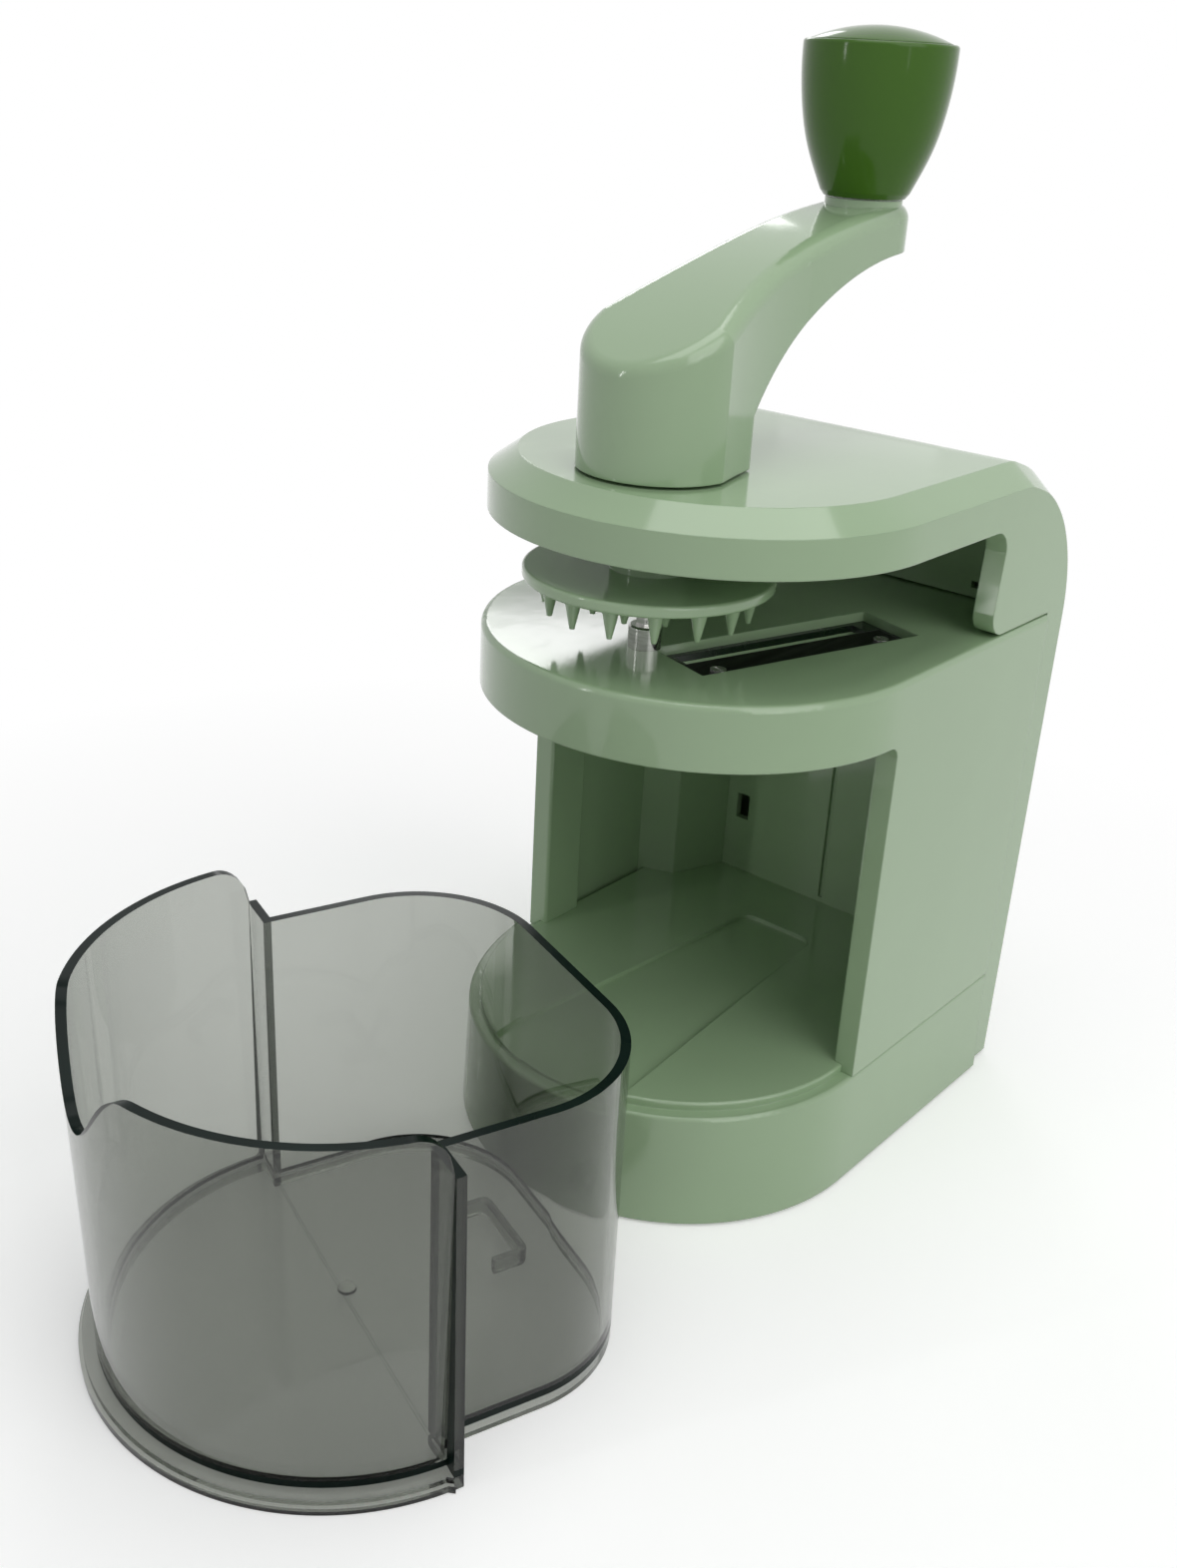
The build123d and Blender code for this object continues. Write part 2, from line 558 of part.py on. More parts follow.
def knob_pin():
    pin = rod(0, KNOB_Y, KNOB_PIN_R, PAD_Z - 12, KNOB_Z + KNOB_H * 0.72)
    return pin + rod(0, KNOB_Y, KNOB_PIN_R + 2, KNOB_Z + KNOB_H * 0.68 + 0.3, KNOB_Z + KNOB_H * 0.72)


def knob_body():
    z = [0, 0.035, 0.15, 0.31, 0.62, 0.82, 1.0]
    r = [KNOB_FOOT_R, KNOB_FOOT_R + 1.1, KNOB_TOP_R * 0.695, KNOB_TOP_R * 0.817, KNOB_TOP_R * 0.953,
         KNOB_TOP_R * 0.993, KNOB_TOP_R]
    pts = [(ri, 0, KNOB_Z + KNOB_H * zi) for ri, zi in zip(r, z)]
    lines = [Line((0, 0, KNOB_Z), pts[0]), Line(pts[0], pts[1]), Spline(*pts[1:]),
             Line(pts[-1], (0, 0, KNOB_Z + KNOB_H)), Line((0, 0, KNOB_Z + KNOB_H), (0, 0, KNOB_Z))]
    knob = Pos(0, KNOB_Y, 0) * revolve(Face(Wire(lines)), Axis.Z)
    rim = knob.edges().filter_by_position(Axis.Z, KNOB_Z + KNOB_H - 0.01, KNOB_Z + KNOB_H + 0.01)
    knob = fillet(rim, 1.0)
    knob -= rod(0, KNOB_Y, KNOB_PIN_R + SHAFT_FIT, KNOB_Z - 1, KNOB_Z + KNOB_H)
    return knob - rod(0, KNOB_Y, KNOB_TOP_R * 0.62, KNOB_Z + KNOB_H * 0.68, KNOB_Z + KNOB_H + 1)


def knob_cap():
    """Shallow dome that plugs the top of the knob."""
    z0, r = KNOB_Z + KNOB_H, KNOB_TOP_R * 0.93
    ball = (r * r + KNOB_DOME * KNOB_DOME) / (2 * KNOB_DOME)
    dome = Pos(0, 0, z0 + KNOB_DOME - ball) * Sphere(ball) & rod(0, 0, r, z0, z0 + KNOB_DOME + 1)
    plug = rod(0, 0, KNOB_TOP_R * 0.62, z0 - 5, z0 + 0.2)
    plug -= rod(0, 0, KNOB_TOP_R * 0.62 - 2, z0 - 6, z0 - 1)
    return Pos(0, KNOB_Y, 0) * (dome + plug)


# ---------------------------------------------------------------- blade and coring pin
FRAME_T = 2.0
SEAT_T = 1.4            # ledge that carries the insert
SEAT_Z = DECK_Z - SEAT_DROP - BLADE_T - FRAME_T
GAP_W = 9.0             # opening beside the cutting edge that lets the strips fall through


def blade_frame():
    """Dark insert that drops into the deck's slot and carries the blade."""
    z = SEAT_Z + FRAME_T / 2
    frame = slot_place(0, 0, z) * Box(SLOT_W - 0.4, SLOT_L - 0.4, FRAME_T)
    frame -= slot_place(-SLOT_W / 2 + 2 + GAP_W / 2, 0, z) * Box(GAP_W, SLOT_L - 12, FRAME_T * 3)
    for v in (-SLOT_L * 0.38, SLOT_L * 0.38):
        frame -= slot_place(SLOT_W * 0.27, v, z) * Cylinder(1.2, FRAME_T * 3)
    return frame


def blade():
    """Flat steel blade with its bevelled edge along the gap."""
    z = SEAT_Z + FRAME_T
    u1 = SLOT_W / 2 - 1.2
    u0 = -SLOT_W / 2 + 2 + GAP_W - 1.0
    t = BLADE_T
    outline = Polyline((u1, 0, 0), (u1, 0, t), (u0, 0, t), (u0 + 2.2, 0, 0), close=True)
    v = SLOT_L - 6
    solid = Pos(0, -v / 2, z) * extrude(Face(Wire(outline.edges())), amount=v, dir=(0, 1, 0))
    for vv in (-SLOT_L * 0.38, SLOT_L * 0.38):
        solid -= Pos(SLOT_W * 0.27, vv, z) * Cylinder(1.2, 10)
    return Pos(SLOT_X, SLOT_Y, 0) * Rot(0, 0, SLOT_TURN) * solid


def blade_screws():
    z = SEAT_Z + FRAME_T + BLADE_T
    out = []
    for v in (-SLOT_L * 0.38, SLOT_L * 0.38):
        screw = slot_place(SLOT_W * 0.27, v, z + 0.35) * Cylinder(2.2, 0.7)
        screw -= slot_place(SLOT_W * 0.27, v, z + 0.6) * Box(3.2, 0.6, 0.6)
        screw += slot_place(SLOT_W * 0.27, v, z - 1.3) * Cylinder(1.2, 2.8)
        out.append(screw)
    return out


def coring_pin():
    """Six-sided steel pin that centres the food on the deck."""
    hexagon = RegularPolygon(PIN_R, 6)
    pin = Pos(0, AXIS_Y, DECK_Z) * extrude(hexagon, amount=PIN_STANDS)
    tip_z = DECK_Z + PIN_STANDS
    pin = chamfer(pin.edges().filter_by_position(Axis.Z, tip_z - 0.01, tip_z + 0.01), 0.6)
    return pin + rod(0, AXIS_Y, PIN_R * 0.8, DECK_UNDER - 10, DECK_Z + 0.5)


def pin_collar():
    rim_z = DECK_Z + COLLAR_H
    collar = rod(0, AXIS_Y, COLLAR_R, DECK_Z, rim_z)
    collar = chamfer(collar.edges().filter_by_position(Axis.Z, rim_z - 0.01, rim_z + 0.01), 0.5)
    return collar - Pos(0, AXIS_Y, DECK_Z - 1) * extrude(RegularPolygon(PIN_R, 6), amount=COLLAR_H * 2)


def pin_nut():
    z = DECK_UNDER - 9.5
    nut = Pos(0, AXIS_Y, z) * extrude(RegularPolygon(PIN_R * 1.7, 6), amount=3.4)
    nut = nut - rod(0, AXIS_Y, PIN_R * 0.8, z - 1, z + 5)
    return nut


# ---------------------------------------------------------------- container
def rear_face(half, length, r, z):
    """Rear part of the container from above: straight sides, two rounded corners."""
    c = cos(radians(45))
    x, y = half - r, length - r
    edges = [Line((-half, 0, z), (half, 0, z)), Line((half, 0, z), (half, y, z)),
             ThreePointArc((half, y, z), (x + r * c, y + r * c, z), (x, length, z)),
             Line((x, length, z), (-x, length, z)),
             ThreePointArc((-x, length, z), (-x - r * c, y + r * c, z), (-half, y, z)),
             Line((-half, y, z), (-half, 0, z))]
    return Face(Wire(edges))


def rear_block(half, length, r, z0, z1):
    return extrude(rear_face(half, length, r, z0), amount=z1 - z0, dir=(0, 0, 1))


def rim_profile():
    """Keeps what lies below the container's rim, seen from the side."""
    x, far = -TUB_R * 1.5, -TUB_R * 1.5
    run = RIM_BEND
    c = cos(radians(45))
    bend = ThreePointArc((x, -run, TUB_H), (x, -run + run * c, TUB_H - run + run * c), (x, 0, TUB_H - run))
    back = TUB_REAR_L * 2
    lines = [bend] + side_path([(0, TUB_H - run), (0.8, TUB_REAR_H), (back, TUB_REAR_H), (back, -10),
                                (far, -10), (far, TUB_H), (-run, TUB_H)], x)
    return side_prism(lines, x, -x)


def notch_cut():
    """Rounded dip for the thumb in the middle of the front rim."""
    y = -TUB_R * 2
    deep = TUB_H - NOTCH_LOW
    pts = [(-NOTCH_HALF - 8, 1.0), (-NOTCH_HALF, 0.76), (-NOTCH_HALF * 0.62, 0.33), (0, 0.0),
           (NOTCH_HALF * 0.62, 0.33), (NOTCH_HALF, 0.76), (NOTCH_HALF + 8, 1.0)]
    pts = [(x, y, NOTCH_LOW + deep * k) for x, k in pts]
    curve = Spline(*pts, tangents=[(1, 0, -0.15), (1, 0, 0.15)])
    up = TUB_H + 10
    lines = [curve, Line(pts[-1], (pts[-1][0], y, up)), Line((pts[-1][0], y, up), (pts[0][0], y, up)),
             Line((pts[0][0], y, up), pts[0])]
    return extrude(Face(Wire(lines)), amount=TUB_R * 1.7, dir=(0, 1, 0))


def tub():
    """The whole container about its own middle plane, flanges at y = 0."""
    foot_r = TUB_R - TUB_DRAFT
    outer = d_taper(foot_r, TUB_R, 1.3, 0.6, TUB_H)
    outer += rear_block(TUB_REAR_HALF, TUB_REAR_L, TUB_REAR_R, 0, TUB_REAR_H)
    lip = d_block(TUB_R + TUB_LIP_OUT, 1.3, 0, TUB_LIP_H)
    lip = fillet(lip.edges().filter_by(GeomType.CIRCLE), 0.9)
    wing_top = TUB_REAR_H - 2
    wide, slim = TUB_R + TUB_LIP_OUT, TUB_R + 0.1
    wing = Polyline((-wide, -TUB_T / 2, 0), (wide, -TUB_T / 2, 0), (slim, -TUB_T / 2, wing_top),
                    (-slim, -TUB_T / 2, wing_top), close=True)
    wings = extrude(Face(Wire(wing.edges())), amount=TUB_T, dir=(0, 1, 0))
    outer += lip + wings
    outer = outer & rim_profile()
    inner = d_taper(foot_r - TUB_T, TUB_R - TUB_T, 0.5, TUB_FLOOR_Z, TUB_H + 0.01)
    inner_rear = rear_block(TUB_REAR_HALF - TUB_T, TUB_REAR_L - TUB_T, TUB_REAR_R - TUB_T,
                            TUB_FLOOR_Z, TUB_H + 5)
    neck = block(-TUB_REAR_HALF + TUB_T, TUB_REAR_HALF - TUB_T, -6, 6, TUB_FLOOR_Z, TUB_H + 5)
    wing_wall = block(-TUB_R * 2, TUB_R * 2, -TUB_T / 2, 3, 0, TUB_H * 2)
    wing_wall -= block(-TUB_REAR_HALF + TUB_T, TUB_REAR_HALF - TUB_T, -10, 10, -5, TUB_H * 3)
    walls = outer - (inner - wing_wall) - inner_rear - neck - notch_cut()
    walls -= rear_block(TUB_REAR_HALF - 5, TUB_REAR_L - 5, TUB_REAR_R - 5, -1, TUB_FLOOR_Z - 3)
    walls -= d_block(foot_r - 5, 0.5, -1, TUB_FLOOR_Z - 3)
    return walls + floor_rib()


def tub_part(y0, y1):
    """Slice of the container between two upright planes, where it stands."""
    part = tub() & block(-TUB_R * 2, TUB_R * 2, y0, y1, -5, TUB_H + 5)
    return Pos(TUB_AT[0], TUB_AT[1], 0) * Rot(0, 0, TUB_TURN) * part


def container_front():
    """Half-round front with its lip, floor and flanges."""
    return tub_part(-TUB_R * 2, TUB_T / 2)


def container_rear():
    """Rear bay with its rounded corners, moulded in one with the front."""
    return tub_part(TUB_T / 2, TUB_REAR_L * 2)


def floor_rib():
    """Low U of wall on the container's floor, open to the front."""
    z0, z1, t = TUB_FLOOR_Z - 0.5, TUB_FLOOR_Z + 5, 2.2
    half, y0, y1 = 13.0, 40.0, 51.0
    rib = block(-half, half, y0, y1, z0, z1)
    rib = fillet(rib.edges().filter_by(Axis.Z).sort_by(Axis.Y)[-2:], 3.0)
    hole = block(-half + t, half - t, y0 - 5, y1 - t, z0 - 1, z1 + 1)
    return rib - hole


PIECES = {
    "base_shell": base_shell, "bottom_plate": bottom_plate, "foot_pads": foot_pads,
    "base_screws": base_screws, "body_shell": body_shell, "bay_back_panel": back_panel,
    "slide_rails": slide_rails, "rail_screws": rail_screws, "blade_frame": blade_frame,
    "slicing_blade": blade, "blade_screws": blade_screws, "coring_pin": coring_pin,
    "pin_collar": pin_collar, "pin_nut": pin_nut, "arm_shell": arm_shell,
    "arm_underplate": arm_underplate, "underplate_screws": underplate_screws,
    "column_front_plate": column_front_plate, "slide_shoes": slide_shoes,
    "upper_bush": upper_bush, "lower_bush": lower_bush, "crank_arm": crank_arm,
    "drive_shaft": drive_shaft, "press_disc": press_disc,
    "disc_spikes": disc_spikes, "disc_screw": disc_screw,
    "knob_pin": knob_pin, "knob_body": knob_body, "knob_cap": knob_cap,
    "container_front": container_front, "container_rear": container_rear,
}

for name, make in PIECES.items():
    made = make()
    made = made if isinstance(made, list) else [made]
    solids = [Pos(-MIDDLE_X, -MIDDLE_Y, 0) * solid for piece in made for solid in piece.solids()]
    made = solids[0] if len(solids) == 1 else Compound(children=solids)
    export_step(made, "parts/" + name + ".step")
    print(name, len(made.solids()), round(made.volume / 1000, 2), "cm3")
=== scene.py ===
"""Looks for a hand-cranked vertical spiral slicer and its smoke-grey catch container."""

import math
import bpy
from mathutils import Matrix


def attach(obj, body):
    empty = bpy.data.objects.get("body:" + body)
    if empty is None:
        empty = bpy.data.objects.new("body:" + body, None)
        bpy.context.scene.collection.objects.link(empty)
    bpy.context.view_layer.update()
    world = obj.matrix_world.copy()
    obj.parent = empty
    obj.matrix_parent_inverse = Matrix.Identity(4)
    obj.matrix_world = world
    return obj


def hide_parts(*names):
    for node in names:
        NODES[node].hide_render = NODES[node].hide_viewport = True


bl_info = {
    "name": "Spiral Slicer Looks",
    "version": (1, 0, 0),
    "blender": (4, 5, 0),
    "location": "View3D > Sidebar > Slicer",
    "description": "Finishes, fine pieces, light and camera for a hand-cranked spiral slicer",
    "category": "Object",
}

import bmesh
import bpy
from bpy.props import FloatProperty, FloatVectorProperty, PointerProperty
from mathutils import Matrix, Vector

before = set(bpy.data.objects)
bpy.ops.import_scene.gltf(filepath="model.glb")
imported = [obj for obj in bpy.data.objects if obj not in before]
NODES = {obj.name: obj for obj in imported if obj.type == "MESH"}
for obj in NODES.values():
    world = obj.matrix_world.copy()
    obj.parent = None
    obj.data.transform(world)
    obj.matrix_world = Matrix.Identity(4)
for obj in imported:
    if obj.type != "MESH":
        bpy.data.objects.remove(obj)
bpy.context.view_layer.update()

# How finely the container's round stretches are cut.
FRONT_STEPS = 150
CORNER_STEPS = 24
HOOK_STEPS = 6

# Margins for picking the container's faces and corners, in metres.
HAIR = 0.0001
MERGE = 3e-5
ON_TABLE = 1e-6

# Angles in radians: edges sharper than BEVEL_FROM are rounded, smooth shading stops at SHADE_TO.
BEVEL_FROM = 0.75
HOOK_BEVEL_FROM = 1.0
SHADE_TO = 0.2

# Material slots of the container.
CLEAR, DARK = 0, 1


# ------------------------------------------------------------------ settings
def colour(name, text, value):
    return FloatVectorProperty(name=name, description=text, subtype="COLOR", size=3,
                               min=0.0, max=1.0, default=value)


def length(name, text, value):
    return FloatProperty(name=name, description=text, subtype="DISTANCE", unit="LENGTH",
                         min=0.0, default=value)


class SlicerFinish(bpy.types.PropertyGroup):
    """Colours and surface values of the slicer's finishes."""

    sage: colour("Sage", "Glossy pale green of the mouldings", (0.325, 0.455, 0.275))
    knob: colour("Knob", "Dark leaf green of the crank's knob", (0.050, 0.135, 0.008))
    smoke: colour("Smoke", "Tint of the clear container", (0.72, 0.735, 0.70))
    rim: colour("Rim", "Near-black green of the container's edges", (0.004, 0.010, 0.008))
    steel: colour("Steel", "Polished steel", (0.58, 0.58, 0.56))
    dark: colour("Insert", "Near-black green of the blade's holder", (0.006, 0.014, 0.007))
    gloss: FloatProperty(name="Roughness", description="Roughness of the glossy mouldings",
                         default=0.11, min=0.02, max=1.0)
    edge: length("Edge", "Softening of the moulded edges", 0.0006)


class SlicerContainer(bpy.types.PropertyGroup):
    """Sizes of the clear container."""

    round_r: length("Front radius", "Radius of the half-round front at its rim", 0.0675)
    draft: length("Draft", "How much smaller the front is at the floor", 0.0025)
    high: length("Front height", "Height of the front rim", 0.102)
    low: length("Rear height", "Height of the rear rim", 0.090)
    rear_half: length("Rear half width", "Half width of the rear part", 0.0565)
    rear_long: length("Rear length", "From the flanges to the back wall", 0.0645)
    rear_r: length("Rear corner", "Rounding of the two rear corners", 0.035)
    wall: length("Wall", "Thickness of the walls", 0.0026)
    floor: length("Floor", "Height of the floor's upper face", 0.006)
    floor_thick: length("Floor thickness", "Thickness of the floor", 0.003)
    bend: length("Bend", "Rounding where the front rim drops to the rear rim", 0.0095)
    notch_low: length("Notch", "Lowest point of the thumb notch", 0.0795)
    notch_half: length("Notch half width", "Half width of the thumb notch", 0.028)
    notch_curve: FloatProperty(name="Notch curve", description="Above 1 the notch opens more slowly",
                               default=1.15)
    flange: length("Flange reach", "Half width over the flanges and the lip at the table", 0.0694)
    lip: length("Lip", "Height of the lip round the front's foot", 0.0040)
    step: length("Lip step", "Height of the lip's wider lower step", 0.0021)
    step_share: FloatProperty(name="Step share", description="Part of the lip's reach that is the lower step",
                              default=0.55)
    mark_y: length("Gate mark", "How far the moulding's mark lies from the flanges", 0.0)
    round_edge: length("Edge rounding", "Rounding of the moulded edges", 0.0007)
    hook_half: length("Rib half width", "Half width of the U-shaped rib on the floor", 0.013)
    hook_y: length("Rib place", "From the flanges to the rib's open ends", 0.037)
    hook_long: length("Rib length", "From its open ends to its back", 0.011)
    hook_high: length("Rib height", "Height above the floor", 0.005)
    hook_wall: length("Rib wall", "Thickness of the rib", 0.0022)
    hook_corner: length("Rib corner", "Rounding of the rib's two corners", 0.003)
    turn: FloatProperty(name="Turn", description="Turn about the upright axis", default=-19.6)
    place: FloatVectorProperty(name="Place", description="Where the middle of the flanges stands",
                               subtype="TRANSLATION", unit="LENGTH", size=3,
                               default=(0.00035, -0.0858, 0.0))
    density: FloatProperty(name="Density", description="How strongly thick plastic darkens", default=155.0)


class SlicerStage(bpy.types.PropertyGroup):
    """Floor, light and camera."""

    lens: FloatProperty(name="Lens", description="Focal length", default=36.82, unit="CAMERA")
    sensor: FloatProperty(name="Sensor", description="Height of the sensor", default=36.0, unit="CAMERA")
    place: FloatVectorProperty(name="Camera", description="Where the camera stands", subtype="TRANSLATION",
                               unit="LENGTH", size=3, default=(0.25674, -0.30917, 0.31029))
    yaw: FloatProperty(name="Yaw", description="Turn to the left of straight back", default=39.23)
    pitch: FloatProperty(name="Pitch", description="Tilt below the horizon", default=24.47)
    roll: FloatProperty(name="Roll", description="Turn about the line of sight", default=-3.16)
    sky: FloatProperty(name="Sky", description="Strength of the even light", default=0.26)
    lamps: FloatProperty(name="Lamps", description="Strength of the soft lamps", default=1.0)


# ------------------------------------------------------------------ material kit
class Recipe:
    """Short hand for wiring one node material."""

    def __init__(self, name):
        self.material = bpy.data.materials.new(name)
        self.material.use_nodes = True
        self.tree = self.material.node_tree
        self.tree.nodes.clear()
        self.out = self.add("ShaderNodeOutputMaterial")
        self.coords = self.add("ShaderNodeTexCoord").outputs["Object"]

    def add(self, kind, **values):
        """A new node; the values are its own settings, not its sockets."""
        node = self.tree.nodes.new(kind)
        for key, value in values.items():
            setattr(node, key, value)
        return node

    def link(self, a, b):
        self.tree.links.new(a, b)

    def scaled(self, scale):
        """Object coordinates stretched by a scale for each axis."""
        node = self.add("ShaderNodeMapping")
        node.inputs["Scale"].default_value = scale
        self.link(self.coords, node.inputs["Vector"])
        return node.outputs["Vector"]

    def noise(self, scale, detail=3.0, stretch=(1.0, 1.0, 1.0)):
        node = self.add("ShaderNodeTexNoise")
        node.inputs["Scale"].default_value = scale
        node.inputs["Detail"].default_value = detail
        self.link(self.scaled(stretch), node.inputs["Vector"])
        return node.outputs["Fac"]

    def ramp(self, fac, low, high, a=0.0, b=1.0):
        """Maps fac from low..high to a..b."""
        node = self.add("ShaderNodeMapRange")
        for key, value in (("From Min", low), ("From Max", high), ("To Min", a), ("To Max", b)):
            node.inputs[key].default_value = value
        self.link(fac, node.inputs["Value"])
        return node.outputs["Result"]

    def mix(self, fac, a, b):
        """Blend of two colours; each is a socket or a colour."""
        node = self.add("ShaderNodeMix", data_type="RGBA")
        self.link(fac, node.inputs[0])
        for socket, value in ((node.inputs[6], a), (node.inputs[7], b)):
            if hasattr(value, "links"):
                self.link(value, socket)
            else:
                socket.default_value = (*value, 1.0)
        return node.outputs[2]

    def bump(self, height, strength, distance, base=None):
        node = self.add("ShaderNodeBump")
        node.inputs["Strength"].default_value = strength
        node.inputs["Distance"].default_value = distance
        self.link(height, node.inputs["Height"])
        if base is not None:
            self.link(base, node.inputs["Normal"])
        return node.outputs["Normal"]

    def soft_edge(self, radius):
        """Normals that look as if every edge were rounded."""
        node = self.add("ShaderNodeBevel", samples=4)
        node.inputs["Radius"].default_value = radius
        return node.outputs["Normal"]

    def surface(self, **values):
        """The main shader; a value is a number or a socket."""
        node = self.add("ShaderNodeBsdfPrincipled")
        for key, value in values.items():
            socket = node.inputs[key.replace("_", " ")]
            if hasattr(value, "links"):
                self.link(value, socket)
            else:
                socket.default_value = value
        self.link(node.outputs[0], self.out.inputs["Surface"])


def shade(value, k):
    """A colour made darker or lighter."""
    return tuple(min(1.0, c * k) for c in value)


def glossy_moulding(name, base, roughness, edge, coat=0.25, ior=1.5):
    """Glossy injection-moulded plastic: faint flow mottling, orange peel and handling scuffs."""
    r = Recipe(name)
    cloud = r.ramp(r.noise(9.0, 4.0), 0.3, 0.7)
    flow = r.ramp(r.noise(38.0, 5.0, (1.0, 1.0, 0.25)), 0.35, 0.65)
    tone = r.mix(cloud, shade(base, 0.965), shade(base, 1.03))
    tone = r.mix(r.ramp(flow, 0.0, 1.0, 0.0, 0.35), tone, shade(base, 0.975))
    scuff = r.ramp(r.noise(160.0, 6.0, (1.0, 0.3, 1.0)), 0.58, 0.72)
    rough = r.add("ShaderNodeMath", operation="ADD")
    r.link(r.ramp(r.noise(24.0, 4.0), 0.3, 0.7, roughness * 0.8, roughness * 1.2), rough.inputs[0])
    r.link(r.ramp(scuff, 0.0, 1.0, 0.0, 0.06), rough.inputs[1])
    normal = r.bump(r.noise(75.0, 2.0), 0.06, 0.0006, r.soft_edge(edge))
    normal = r.bump(r.noise(900.0, 2.0), 0.03, 0.0001, normal)
    r.surface(Base_Color=tone, Roughness=rough.outputs[0], Normal=normal, IOR=ior,
              Coat_Weight=coat, Coat_Roughness=0.06)
    return r.material


def satin_plastic(name, base, roughness, grain=700.0):
    """Plain technical plastic with a fine eroded grain."""
    r = Recipe(name)
    cloud = r.ramp(r.noise(30.0, 4.0), 0.3, 0.7)
    tone = r.mix(cloud, shade(base, 0.9), shade(base, 1.08))
    rough = r.ramp(r.noise(120.0, 4.0), 0.3, 0.7, roughness * 0.85, roughness * 1.15)
    normal = r.bump(r.noise(grain, 3.0), 0.12, 0.0001, r.soft_edge(0.0003))
    r.surface(Base_Color=tone, Roughness=rough, Normal=normal, IOR=1.5)
    return r.material


def turned_steel(name, base, roughness, stretch):
    """Bright steel with fine tool marks along one direction."""
    r = Recipe(name)
    marks = r.noise(260.0, 5.0, stretch)
    tone = r.mix(r.ramp(marks, 0.35, 0.65), shade(base, 0.88), shade(base, 1.06))
    rough = r.ramp(marks, 0.3, 0.7, roughness * 0.75, roughness * 1.35)
    normal = r.bump(marks, 0.08, 0.0001, r.soft_edge(0.0002))
    r.surface(Base_Color=tone, Roughness=rough, Normal=normal, Metallic=1.0)
    return r.material


def pad_rubber(name):
    """Dull black rubber with dust in its pores."""
    r = Recipe(name)
    dust = r.ramp(r.noise(90.0, 6.0), 0.5, 0.75)
    tone = r.mix(dust, (0.018, 0.018, 0.018), (0.06, 0.06, 0.056))
    normal = r.bump(r.noise(1200.0, 3.0), 0.25, 0.0002)
    r.surface(Base_Color=tone, Roughness=r.ramp(dust, 0.0, 1.0, 0.62, 0.85), Normal=normal)
    return r.material


def clear_smoke(name, tint, density):
    """Clear smoke-grey plastic: faint flow lines and a few hairline scuffs."""
    r = Recipe(name)
    flow = r.ramp(r.noise(16.0, 3.0, (1.0, 1.0, 0.2)), 0.35, 0.65)
    tone = r.mix(flow, shade(tint, 0.985), shade(tint, 1.015))
    scuff = r.ramp(r.noise(220.0, 6.0, (1.0, 1.0, 0.15)), 0.66, 0.78)
    normal = r.bump(r.noise(45.0, 2.0), 0.02, 0.0004)
    r.surface(Base_Color=tone, Roughness=r.ramp(scuff, 0.0, 1.0, 0.0, 0.03), Normal=normal,
              Transmission_Weight=1.0, IOR=1.46)
    depth = r.add("ShaderNodeVolumeAbsorption")
    depth.inputs["Color"].default_value = (0.20, 0.225, 0.19, 1.0)
    depth.inputs["Density"].default_value = density
    r.link(depth.outputs[0], r.out.inputs["Volume"])
    return r.material


def dark_rim(name, base):
    """The container's edges, which gather so much tint that they look almost black."""
    r = Recipe(name)
    cloud = r.ramp(r.noise(60.0, 3.0), 0.3, 0.7)
    tone = r.mix(cloud, shade(base, 0.8), shade(base, 1.4))
    r.surface(Base_Color=tone, Roughness=r.ramp(cloud, 0.0, 1.0, 0.16, 0.26), IOR=1.2)
    return r.material


# ------------------------------------------------------------------ mesh kit
def dress(node, material):
    """Gives a CAD node its finish; its mesh stays as it is."""
    slots = NODES[node].data.materials
    slots.clear()
    slots.append(material)


def finish_piece(bm, name, body, materials, replaced):
    """Turns a bmesh into a piece that rides on a body and stands in for CAD nodes."""
    mesh = bpy.data.meshes.new(name)
    bm.to_mesh(mesh)
    bm.free()
    obj = bpy.data.objects.new(name, mesh)
    bpy.context.scene.collection.objects.link(obj)
    for material in materials:
        mesh.materials.append(material)
    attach(obj, body)
    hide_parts(*replaced)


def finish_of():
    """The finish settings of this scene."""
    return bpy.context.scene.slicer_finish


def sage():
    """One shared finish for the pale green mouldings."""
    f = finish_of()
    made = bpy.data.materials.get("sage_moulding")
    return made or glossy_moulding("sage_moulding", f.sage, f.gloss, f.edge)


def screw_finish():
    """One shared finish for all the screws."""
    made = bpy.data.materials.get("zinc_screw")
    return made or turned_steel("zinc_screw", finish_of().steel, 0.3, (1, 1, 3))


# ------------------------------------------------------------------ operators
class SLICER_OT_stand(bpy.types.Operator):
    """Finish the base, the body with its deck, and the bay's back panel"""

    bl_idname = "slicer.stand"
    bl_label = "Stand mouldings"

    def execute(self, context):
        for node in ("base_shell", "bottom_plate", "body_shell", "bay_back_panel"):
            dress(node, sage())
        dress("foot_pads", pad_rubber("pad_rubber"))
        for node in ("base_screws", "rail_screws"):
            dress(node, screw_finish())
        return {"FINISHED"}


class SLICER_OT_slides(bpy.types.Operator):
    """Finish the two rails and the shoes that run on them"""

    bl_idname = "slicer.slides"
    bl_label = "Slides"

    def execute(self, context):
        ivory = satin_plastic("slide_ivory", (0.62, 0.61, 0.55), 0.38)
        for node in ("slide_rails", "slide_shoes"):
            dress(node, ivory)
        return {"FINISHED"}


class SLICER_OT_arm(bpy.types.Operator):
    """Finish the lifting arm, its plates and its shaft bushes"""

    bl_idname = "slicer.arm"
    bl_label = "Lifting arm"

    def execute(self, context):
        for node in ("arm_shell", "arm_underplate", "column_front_plate"):
            dress(node, sage())
        black = satin_plastic("bush_black", (0.02, 0.022, 0.02), 0.42)
        for node in ("upper_bush", "lower_bush"):
            dress(node, black)
        dress("underplate_screws", screw_finish())
        return {"FINISHED"}


